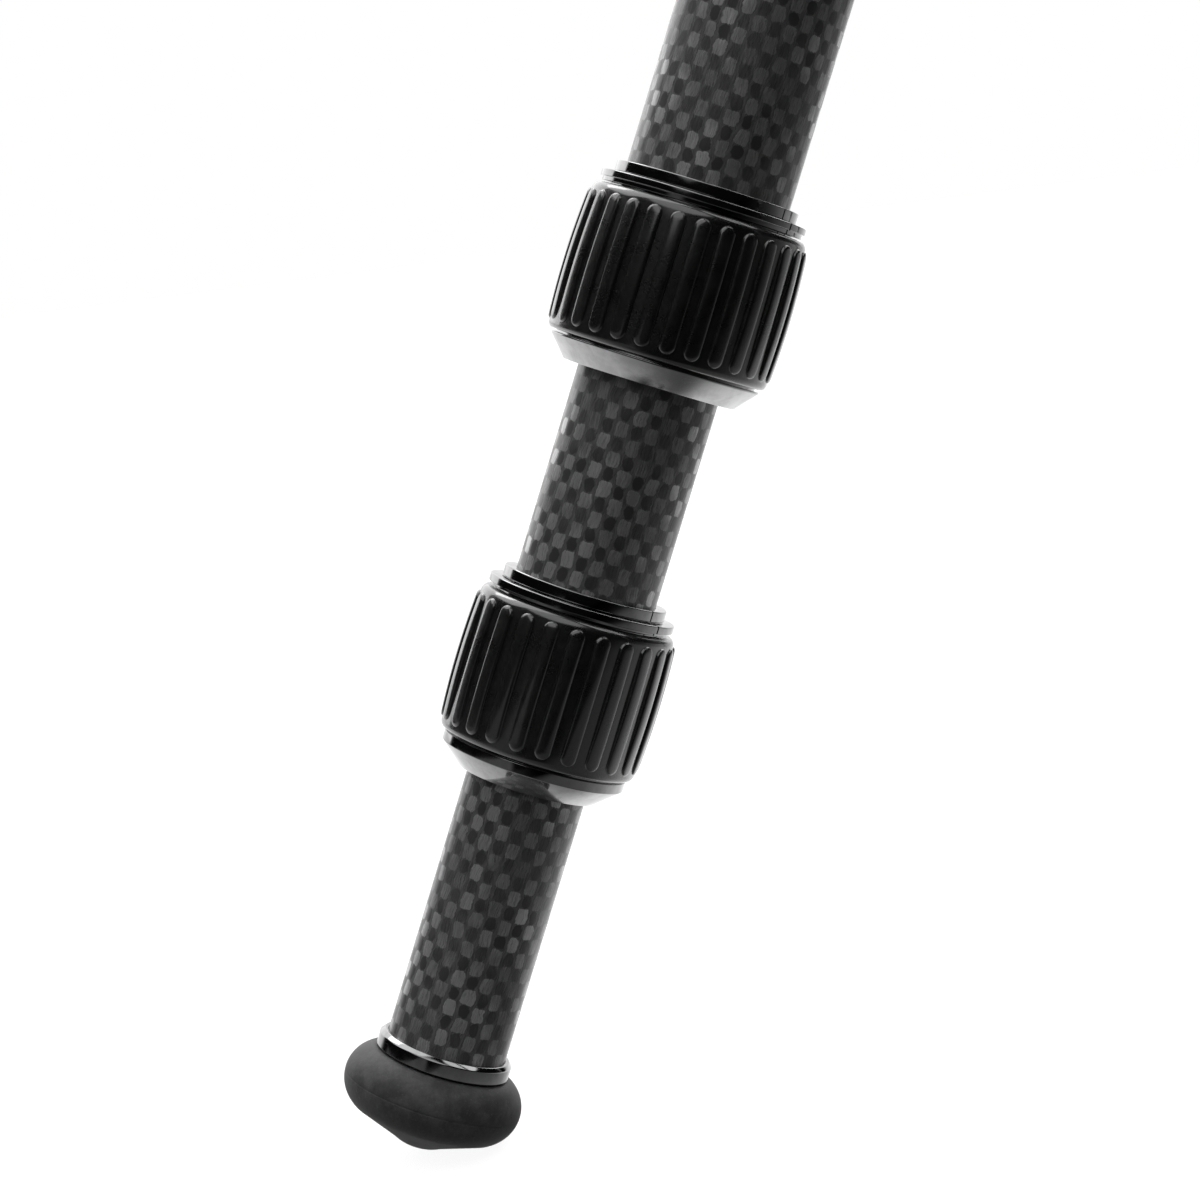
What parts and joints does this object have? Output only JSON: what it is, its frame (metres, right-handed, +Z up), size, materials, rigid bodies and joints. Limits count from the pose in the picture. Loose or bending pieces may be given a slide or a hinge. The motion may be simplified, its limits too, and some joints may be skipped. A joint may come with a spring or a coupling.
{
  "type": "camera tripod",
  "caption": "Camera tripod with twist-lock telescopic carbon legs, ribbed rubber lock grips, rubber feet, folding shoulder, sliding centre column and threaded head platform.",
  "frame": {"origin": "on the floor, midway between the three feet and straight under the centre column", "axes": "+Z up along the centre column; the first leg leans out towards -X, and the others stand 120 degrees either side of it"},
  "size_m": [0.3898, 0.445, 0.4925],
  "materials": {
    "carbon_tube": "clear-coated woven carbon, satin gloss",
    "grip_rubber": "satin black rubber with a fine grain",
    "foot_rubber": "matte dark grey rubber",
    "black_anodised": "glossy black anodised",
    "satin_black_metal": "satin black",
    "steel": "satin",
    "guide_plastic": "matte"
  },
  "bodies": {
    "shoulder_body": {"shoulder": "satin_black_metal", "hinge_bolts": "steel", "column_bushing": "guide_plastic"},
    "column_body": {"centre_column": "carbon_tube", "head_platform": "satin_black_metal", "head_stud": "steel", "column_hook": "satin_black_metal"},
    "column_twist": {"column_lock_nut": "black_anodised", "column_lock_grip": "grip_rubber"},
    "leg1_upper": {"leg1_knuckle": "satin_black_metal", "leg1_upper_tube": "carbon_tube", "leg1_upper_lock_collar": "black_anodised", "leg1_upper_lock_collet": "guide_plastic"},
    "leg1_latch": {"leg1_angle_latch": "satin_black_metal"},
    "leg1_upper_twist": {"leg1_upper_lock_nut": "black_anodised", "leg1_upper_lock_grip": "grip_rubber"},
    "leg1_middle": {"leg1_mid_tube": "carbon_tube", "leg1_mid_shims": "guide_plastic", "leg1_lower_lock_collar": "black_anodised", "leg1_lower_lock_collet": "guide_plastic"},
    "leg1_lower_twist": {"leg1_lower_lock_nut": "black_anodised", "leg1_lower_lock_grip": "grip_rubber"},
    "leg1_lower": {"leg1_low_tube": "carbon_tube", "leg1_low_shims": "guide_plastic", "leg1_foot_plug": "black_anodised", "leg1_foot": "foot_rubber"},
    "leg2_upper": {"leg2_knuckle": "satin_black_metal", "leg2_upper_tube": "carbon_tube", "leg2_upper_lock_collar": "black_anodised", "leg2_upper_lock_collet": "guide_plastic"},
    "leg2_latch": {"leg2_angle_latch": "satin_black_metal"},
    "leg2_upper_twist": {"leg2_upper_lock_nut": "black_anodised", "leg2_upper_lock_grip": "grip_rubber"},
    "leg2_middle": {"leg2_mid_tube": "carbon_tube", "leg2_mid_shims": "guide_plastic", "leg2_lower_lock_collar": "black_anodised", "leg2_lower_lock_collet": "guide_plastic"},
    "leg2_lower_twist": {"leg2_lower_lock_nut": "black_anodised", "leg2_lower_lock_grip": "grip_rubber"},
    "leg2_lower": {"leg2_low_tube": "carbon_tube", "leg2_low_shims": "guide_plastic", "leg2_foot_plug": "black_anodised", "leg2_foot": "foot_rubber"},
    "leg3_upper": {"leg3_knuckle": "satin_black_metal", "leg3_upper_tube": "carbon_tube", "leg3_upper_lock_collar": "black_anodised", "leg3_upper_lock_collet": "guide_plastic"},
    "leg3_latch": {"leg3_angle_latch": "satin_black_metal"},
    "leg3_upper_twist": {"leg3_upper_lock_nut": "black_anodised", "leg3_upper_lock_grip": "grip_rubber"},
    "leg3_middle": {"leg3_mid_tube": "carbon_tube", "leg3_mid_shims": "guide_plastic", "leg3_lower_lock_collar": "black_anodised", "leg3_lower_lock_collet": "guide_plastic"},
    "leg3_lower_twist": {"leg3_lower_lock_nut": "black_anodised", "leg3_lower_lock_grip": "grip_rubber"},
    "leg3_lower": {"leg3_low_tube": "carbon_tube", "leg3_low_shims": "guide_plastic", "leg3_foot_plug": "black_anodised", "leg3_foot": "foot_rubber"}
  },
  "joints": [
    {"name": "column_slide", "type": "slide", "parent": "shoulder_body", "child": "column_body", "axis": [0, 0, 1], "range_m": [0, 0.16]},
    {"name": "column_lock", "type": "hinge", "parent": "shoulder_body", "child": "column_twist", "pos_m": [0, 0, 0.42957], "axis": [0, 0, 1], "range_deg": [-90, 0]},
    {"name": "leg1_spread", "type": "hinge", "parent": "shoulder_body", "child": "leg1_upper", "pos_m": [-0.04, 0, 0.45757], "axis": [0, -1, 0], "range_deg": [0, 24]},
    {"name": "leg1_latch_pull", "type": "slide", "parent": "leg1_upper", "child": "leg1_latch", "axis": [-0.9135, 0, 0.4067], "range_m": [0, 0.008], "stiffness_N_per_m": 300, "springref_m": -0.004},
    {"name": "leg1_upper_lock", "type": "hinge", "parent": "leg1_upper", "child": "leg1_upper_twist", "pos_m": [-0.17949, 0, 0.14427], "axis": [0.4067, 0, 0.9135], "range_deg": [-90, 0]},
    {"name": "leg1_middle_slide", "type": "slide", "parent": "leg1_upper", "child": "leg1_middle", "axis": [-0.4067, 0, -0.9135], "range_m": [-0.0362, 0.249]},
    {"name": "leg1_lower_lock", "type": "hinge", "parent": "leg1_middle", "child": "leg1_lower_twist", "pos_m": [-0.20877, 0, 0.07849], "axis": [0.4067, 0, 0.9135], "range_deg": [-90, 0]},
    {"name": "leg1_lower_slide", "type": "slide", "parent": "leg1_middle", "child": "leg1_lower", "axis": [-0.4067, 0, -0.9135], "range_m": [-0.0479, 0.27]},
    {"name": "leg2_spread", "type": "hinge", "parent": "shoulder_body", "child": "leg2_upper", "pos_m": [0.02, -0.03464, 0.45757], "axis": [0.866, 0.5, 0], "range_deg": [0, 24]},
    {"name": "leg2_latch_pull", "type": "slide", "parent": "leg2_upper", "child": "leg2_latch", "axis": [0.4568, -0.7912, 0.4067], "range_m": [0, 0.008], "stiffness_N_per_m": 300, "springref_m": -0.004},
    {"name": "leg2_upper_lock", "type": "hinge", "parent": "leg2_upper", "child": "leg2_upper_twist", "pos_m": [0.08975, -0.15544, 0.14427], "axis": [-0.2034, 0.3522, 0.9135], "range_deg": [-90, 0]},
    {"name": "leg2_middle_slide", "type": "slide", "parent": "leg2_upper", "child": "leg2_middle", "axis": [0.2034, -0.3522, -0.9135], "range_m": [-0.0362, 0.249]},
    {"name": "leg2_lower_lock", "type": "hinge", "parent": "leg2_middle", "child": "leg2_lower_twist", "pos_m": [0.10439, -0.1808, 0.07849], "axis": [-0.2034, 0.3522, 0.9135], "range_deg": [-90, 0]},
    {"name": "leg2_lower_slide", "type": "slide", "parent": "leg2_middle", "child": "leg2_lower", "axis": [0.2034, -0.3522, -0.9135], "range_m": [-0.0479, 0.27]},
    {"name": "leg3_spread", "type": "hinge", "parent": "shoulder_body", "child": "leg3_upper", "pos_m": [0.02, 0.03464, 0.45757], "axis": [-0.866, 0.5, 0], "range_deg": [0, 24]},
    {"name": "leg3_latch_pull", "type": "slide", "parent": "leg3_upper", "child": "leg3_latch", "axis": [0.4568, 0.7912, 0.4067], "range_m": [0, 0.008], "stiffness_N_per_m": 300, "springref_m": -0.004},
    {"name": "leg3_upper_lock", "type": "hinge", "parent": "leg3_upper", "child": "leg3_upper_twist", "pos_m": [0.08975, 0.15544, 0.14427], "axis": [-0.2034, -0.3522, 0.9135], "range_deg": [-90, 0]},
    {"name": "leg3_middle_slide", "type": "slide", "parent": "leg3_upper", "child": "leg3_middle", "axis": [0.2034, 0.3522, -0.9135], "range_m": [-0.0362, 0.249]},
    {"name": "leg3_lower_lock", "type": "hinge", "parent": "leg3_middle", "child": "leg3_lower_twist", "pos_m": [0.10439, 0.1808, 0.07849], "axis": [-0.2034, -0.3522, 0.9135], "range_deg": [-90, 0]},
    {"name": "leg3_lower_slide", "type": "slide", "parent": "leg3_middle", "child": "leg3_lower", "axis": [0.2034, 0.3522, -0.9135], "range_m": [-0.0479, 0.27]}
  ]
}
